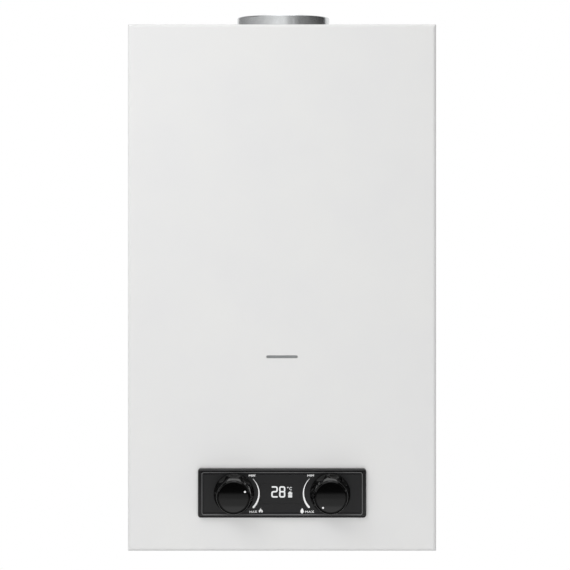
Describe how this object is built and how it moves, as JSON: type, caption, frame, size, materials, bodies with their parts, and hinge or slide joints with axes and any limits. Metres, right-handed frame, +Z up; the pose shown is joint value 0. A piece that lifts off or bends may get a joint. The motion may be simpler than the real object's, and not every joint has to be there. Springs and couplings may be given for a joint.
{
  "type": "gas water heater",
  "caption": "Wall-hung instantaneous gas water heater: white sheet-steel cover, flue collar, black fascia with gas and water knobs and a display, finned copper exchanger inside.",
  "frame": {"origin": "middle of the back plate's wall face, at half the height of the casing", "axes": "+X to the right seen from the front, +Y into the wall, +Z up"},
  "size_m": [0.322, 0.196, 0.579],
  "materials": {
    "white_enamel": "smooth white powder coat on sheet steel",
    "galvanised_steel": "bright galvanised sheet",
    "stainless_steel": "pressed stainless sheet",
    "zinc_plated_steel": "zinc plated",
    "copper": "drawn and pressed copper",
    "brass": "machined and cast brass",
    "cast_aluminium": "die cast",
    "black_moulding": "satin black moulded plastic",
    "black_gloss": "polished black acrylic",
    "dark_plastic": "moulded dark plastic",
    "circuit_board": "green solder resist",
    "rubber": "moulded nitrile rubber",
    "ceramic": "glazed ceramic with steel wire",
    "heat_glass": "heat-proof glass",
    "cell_jacket": "printed steel jacket, plain",
    "white_print": "white screen-print ink",
    "display_light": "figures lit from behind"
  },
  "bodies": {
    "heater": {"front_cover": "white_enamel", "inspection_glass": "heat_glass", "back_plate": "galvanised_steel", "base_plate": "galvanised_steel", "stack_brackets": "galvanised_steel", "burner_frame": "galvanised_steel", "burner_bars": "stainless_steel", "gas_manifold": "galvanised_steel", "injectors": "brass", "spark_electrode": "ceramic", "flame_electrode": "ceramic", "combustion_chamber": "copper", "chamber_coil": "copper", "exchanger_case": "copper", "exchanger_fins": "copper", "exchanger_tubes": "copper", "draught_hood": "galvanised_steel", "flue_collar": "galvanised_steel", "hot_pipe": "copper", "cold_feed_pipe": "copper", "cold_inlet_pipe": "copper", "gas_inlet_pipe": "copper", "cold_nipple": "brass", "hot_nipple": "brass", "gas_nipple": "brass", "nipple_nuts": "brass", "gas_valve_body": "cast_aluminium", "gas_valve_bonnet": "cast_aluminium", "gas_solenoid": "dark_plastic", "water_valve_body": "brass", "water_valve_cover": "brass", "diaphragm": "rubber", "valve_screws": "zinc_plated_steel", "microswitch": "dark_plastic", "fascia_bezel": "black_moulding", "fascia_panel": "black_gloss", "display_board": "circuit_board", "display_window": "black_gloss", "battery_box": "dark_plastic", "battery_cells": "cell_jacket", "battery_contacts": "zinc_plated_steel", "battery_pin": "zinc_plated_steel", "ignition_module": "dark_plastic", "overheat_thermostat": "dark_plastic", "flue_thermostat": "dark_plastic", "temperature_sensor": "brass", "cover_screws": "zinc_plated_steel", "base_screws": "zinc_plated_steel"},
    "gas_knob": {"gas_knob": "black_moulding", "gas_knob_cap": "black_gloss", "gas_spindle": "zinc_plated_steel"},
    "water_knob": {"water_knob": "black_moulding", "water_knob_cap": "black_gloss", "water_spindle": "zinc_plated_steel"},
    "push_rod": {"push_rod": "zinc_plated_steel"},
    "switch_lever": {"switch_lever": "zinc_plated_steel"},
    "battery_lid": {"battery_lid": "dark_plastic"},
    "drain_plug": {"drain_plug": "brass"}
  },
  "joints": [
    {"name": "gas_knob_turn", "type": "hinge", "parent": "heater", "child": "gas_knob", "pos_m": [-0.05, -0.185, -0.2135], "axis": [0, 1, 0], "range_deg": [-25, 79]},
    {"name": "water_knob_turn", "type": "hinge", "parent": "heater", "child": "water_knob", "pos_m": [0.05, -0.185, -0.2135], "axis": [0, 1, 0], "range_deg": [0, 104]},
    {"name": "push_rod_slide", "type": "slide", "parent": "heater", "child": "push_rod", "axis": [-1, 0, 0], "range_m": [0, 0.004], "stiffness_N_per_m": 200},
    {"name": "switch_lever_swing", "type": "hinge", "parent": "heater", "child": "switch_lever", "pos_m": [-0.0009, -0.118, -0.2], "axis": [0, 1, 0], "range_deg": [0, 38]},
    {"name": "battery_lid_hinge", "type": "hinge", "parent": "heater", "child": "battery_lid", "pos_m": [0.112, -0.078, -0.2764], "axis": [1, 0, 0], "range_deg": [0, 95]},
    {"name": "drain_plug_turn", "type": "hinge", "parent": "heater", "child": "drain_plug", "pos_m": [0.048, -0.132, -0.255], "axis": [0, 0, 1], "continuous": true}
  ],
  "couplings": [
    {"joint": "switch_lever_swing", "follows": "push_rod_slide", "rad_per_m": 139.6}
  ]
}
